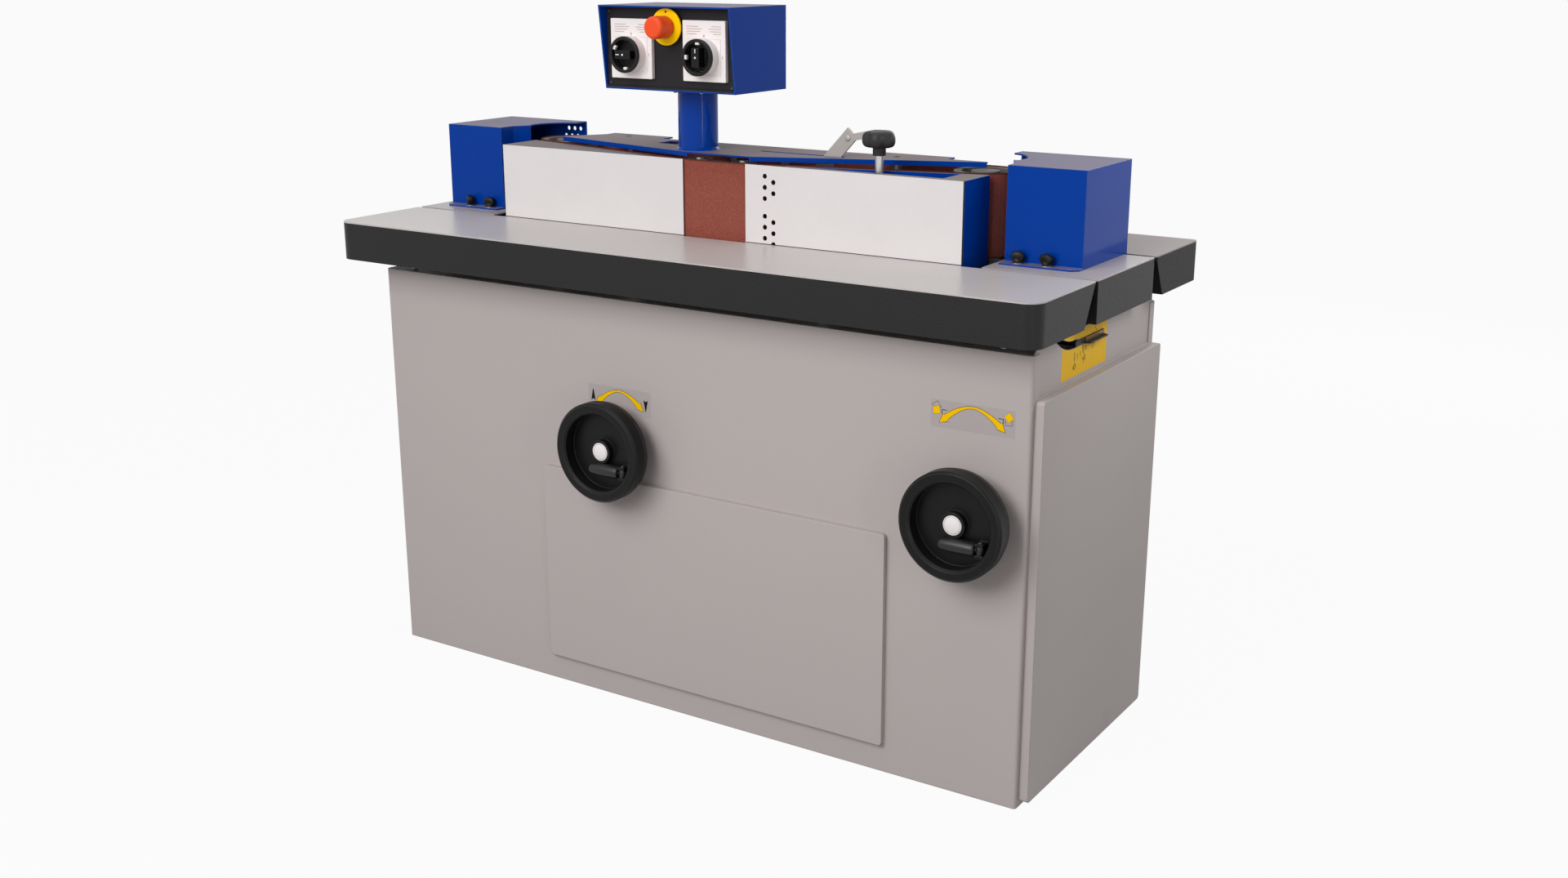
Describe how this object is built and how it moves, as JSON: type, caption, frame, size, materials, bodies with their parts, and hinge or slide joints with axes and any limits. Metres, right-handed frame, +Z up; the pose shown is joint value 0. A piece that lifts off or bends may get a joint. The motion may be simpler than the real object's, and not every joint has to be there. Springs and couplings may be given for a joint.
{
  "type": "edge belt sander",
  "caption": "Cabinet edge belt sander with an upright belt behind a split fence, a lifting front table, a tilting sanding unit, handwheels and a control box on a post.",
  "frame": {"origin": "on the floor under the middle of the machine's outer box", "axes": "+X along the table to the operator's right, +Y to the rear, +Z up"},
  "size_m": [1.522, 0.718, 1.322],
  "materials": {
    "cabinet_paint": "light grey textured paint",
    "frame_paint": "dark grey paint",
    "cast_table": "ground top, dark textured edges",
    "bright_steel": "turned and ground",
    "roller_alloy": "turned",
    "bronze": "machined",
    "blue_paint": "blue textured paint",
    "fence_steel": "bright sheet",
    "abrasive": "brown abrasive on cloth",
    "black_plastic": "moulded black",
    "switch_grey": "light grey moulded",
    "stop_yellow": "yellow",
    "stop_red": "red"
  },
  "bodies": {
    "base": {"base_frame": "frame_paint", "front_panel": "cabinet_paint", "side_panels": "cabinet_paint", "rear_panel": "cabinet_paint", "front_cover": "cabinet_paint", "side_door": "cabinet_paint", "scale_plate": "cabinet_paint", "dust_port": "frame_paint", "left_end_table": "cast_table", "right_end_table": "cast_table", "rear_table": "cast_table", "table_supports": "frame_paint", "lift_carrier": "frame_paint", "lift_gearbox": "frame_paint", "spindle_bearings": "frame_paint", "tilt_shoes": "frame_paint", "left_cover": "blue_paint", "right_cover": "blue_paint", "cover_knobs": "black_plastic"},
    "lift_table": {"front_table": "cast_table", "lift_columns": "bright_steel"},
    "lift_drive": {"lift_wheel": "black_plastic", "lift_shaft": "bright_steel"},
    "lift_grip": {"lift_grip": "black_plastic"},
    "lift_screw": {"lift_screw": "bright_steel"},
    "tilt_drive": {"tilt_wheel": "black_plastic", "tilt_spindle": "bright_steel"},
    "tilt_grip": {"tilt_grip": "black_plastic"},
    "tilt_nut": {"tilt_nut": "bronze"},
    "sanding_unit": {"unit_plate": "frame_paint", "left_tilt_bracket": "frame_paint", "right_tilt_bracket": "frame_paint", "tilt_pointer": "black_plastic", "motor": "frame_paint", "tension_guides": "frame_paint", "unit_posts": "bright_steel", "platen": "bright_steel", "sanding_belt": "abrasive", "top_plate": "blue_paint", "left_fence": "fence_steel", "left_fence_bracket": "blue_paint", "control_post": "blue_paint", "control_box": "blue_paint", "control_panel": "black_plastic", "switch_plates": "switch_grey", "switch_collars": "black_plastic", "stop_ring": "stop_yellow"},
    "drive_drum": {"drive_drum": "roller_alloy"},
    "idler_carriage": {"idler_carriage": "bright_steel"},
    "idler_drum": {"idler_drum": "roller_alloy"},
    "tension_lever": {"tension_lever": "bright_steel"},
    "left_roller": {"left_roller": "roller_alloy"},
    "right_roller": {"right_roller": "roller_alloy"},
    "right_fence": {"right_fence": "fence_steel", "right_fence_bracket": "blue_paint"},
    "clamp_knob": {"clamp_knob": "black_plastic"},
    "main_switch": {"main_switch": "black_plastic"},
    "mode_switch": {"mode_switch": "black_plastic"},
    "stop_button": {"stop_button": "stop_red"}
  },
  "joints": [
    {"name": "lift_wheel_turn", "type": "hinge", "parent": "base", "child": "lift_drive", "pos_m": [-0.113, -0.283, 0.522], "axis": [0, -1, 0], "range_deg": [0, 7200]},
    {"name": "table_lift", "type": "slide", "parent": "base", "child": "lift_table", "axis": [0, 0, 1], "range_m": [0, 0.1]},
    {"name": "lift_screw_turn", "type": "hinge", "parent": "base", "child": "lift_screw", "pos_m": [-0.113, -0.223, 0.6], "axis": [0, 0, 1], "range_deg": [0, 7200]},
    {"name": "lift_grip_fold", "type": "hinge", "parent": "lift_drive", "child": "lift_grip", "pos_m": [-0.061, -0.344, 0.488], "axis": [0, 0, 1], "range_deg": [0, 90]},
    {"name": "tilt_wheel_turn", "type": "hinge", "parent": "base", "child": "tilt_drive", "pos_m": [0.622, -0.283, 0.515], "axis": [0, -1, 0], "range_deg": [0, 7200]},
    {"name": "unit_tilt", "type": "hinge", "parent": "base", "child": "sanding_unit", "pos_m": [0, -0.121, 0.9], "axis": [-1, 0, 0], "range_deg": [0, 45]},
    {"name": "tilt_nut_travel", "type": "slide", "parent": "base", "child": "tilt_nut", "axis": [0, -1, 0], "range_m": [0, 0.32241]},
    {"name": "tilt_grip_fold", "type": "hinge", "parent": "tilt_drive", "child": "tilt_grip", "pos_m": [0.674, -0.344, 0.481], "axis": [0, 0, 1], "range_deg": [0, 90]},
    {"name": "drive_drum_spin", "type": "hinge", "parent": "sanding_unit", "child": "drive_drum", "pos_m": [-0.483, 0.042, 0.97], "axis": [0, 0, 1], "continuous": true},
    {"name": "idler_slide", "type": "slide", "parent": "sanding_unit", "child": "idler_carriage", "axis": [-1, 0, 0], "range_m": [0, 0.015]},
    {"name": "idler_drum_spin", "type": "hinge", "parent": "idler_carriage", "child": "idler_drum", "pos_m": [0.473, 0.042, 0.97], "axis": [0, 0, 1], "continuous": true},
    {"name": "tension_lever_swing", "type": "hinge", "parent": "sanding_unit", "child": "tension_lever", "pos_m": [0.148, -0.021, 1.008], "axis": [0, -1, 0], "range_deg": [0, 60]},
    {"name": "left_roller_spin", "type": "hinge", "parent": "sanding_unit", "child": "left_roller", "pos_m": [-0.054, -0.095, 0.97], "axis": [0, 0, 1], "continuous": true},
    {"name": "right_roller_spin", "type": "hinge", "parent": "sanding_unit", "child": "right_roller", "pos_m": [0.044, -0.095, 0.97], "axis": [0, 0, 1], "continuous": true},
    {"name": "right_fence_slide", "type": "slide", "parent": "sanding_unit", "child": "right_fence", "axis": [0, 1, 0], "range_m": [0, 0.002]},
    {"name": "clamp_knob_turn", "type": "hinge", "parent": "sanding_unit", "child": "clamp_knob", "pos_m": [0.329, -0.089, 1], "axis": [0, 0, 1], "range_deg": [0, 180]},
    {"name": "main_switch_turn", "type": "hinge", "parent": "sanding_unit", "child": "main_switch", "pos_m": [-0.1695, -0.139, 1.234], "axis": [0, -1, 0], "range_deg": [0, 90]},
    {"name": "mode_switch_turn", "type": "hinge", "parent": "sanding_unit", "child": "mode_switch", "pos_m": [-0.0045, -0.139, 1.234], "axis": [0, -1, 0], "range_deg": [0, 90]},
    {"name": "stop_press", "type": "slide", "parent": "sanding_unit", "child": "stop_button", "axis": [0, 1, 0], "range_m": [0, 0.004], "stiffness_N_per_m": 2500}
  ],
  "couplings": [
    {"joint": "lift_wheel_turn", "follows": "table_lift", "rad_per_m": 1256.6},
    {"joint": "lift_screw_turn", "follows": "table_lift", "rad_per_m": 1256.6},
    {"joint": "tilt_wheel_turn", "follows": "unit_tilt", "ratio": 160},
    {"joint": "tilt_nut_travel", "follows": "unit_tilt", "m_per_rad": 0.41051},
    {"joint": "idler_slide", "follows": "tension_lever_swing", "m_per_rad": 0.014324},
    {"joint": "idler_drum_spin", "follows": "drive_drum_spin", "ratio": 1},
    {"joint": "left_roller_spin", "follows": "drive_drum_spin", "ratio": 2.375},
    {"joint": "right_roller_spin", "follows": "drive_drum_spin", "ratio": 2.375}
  ]
}
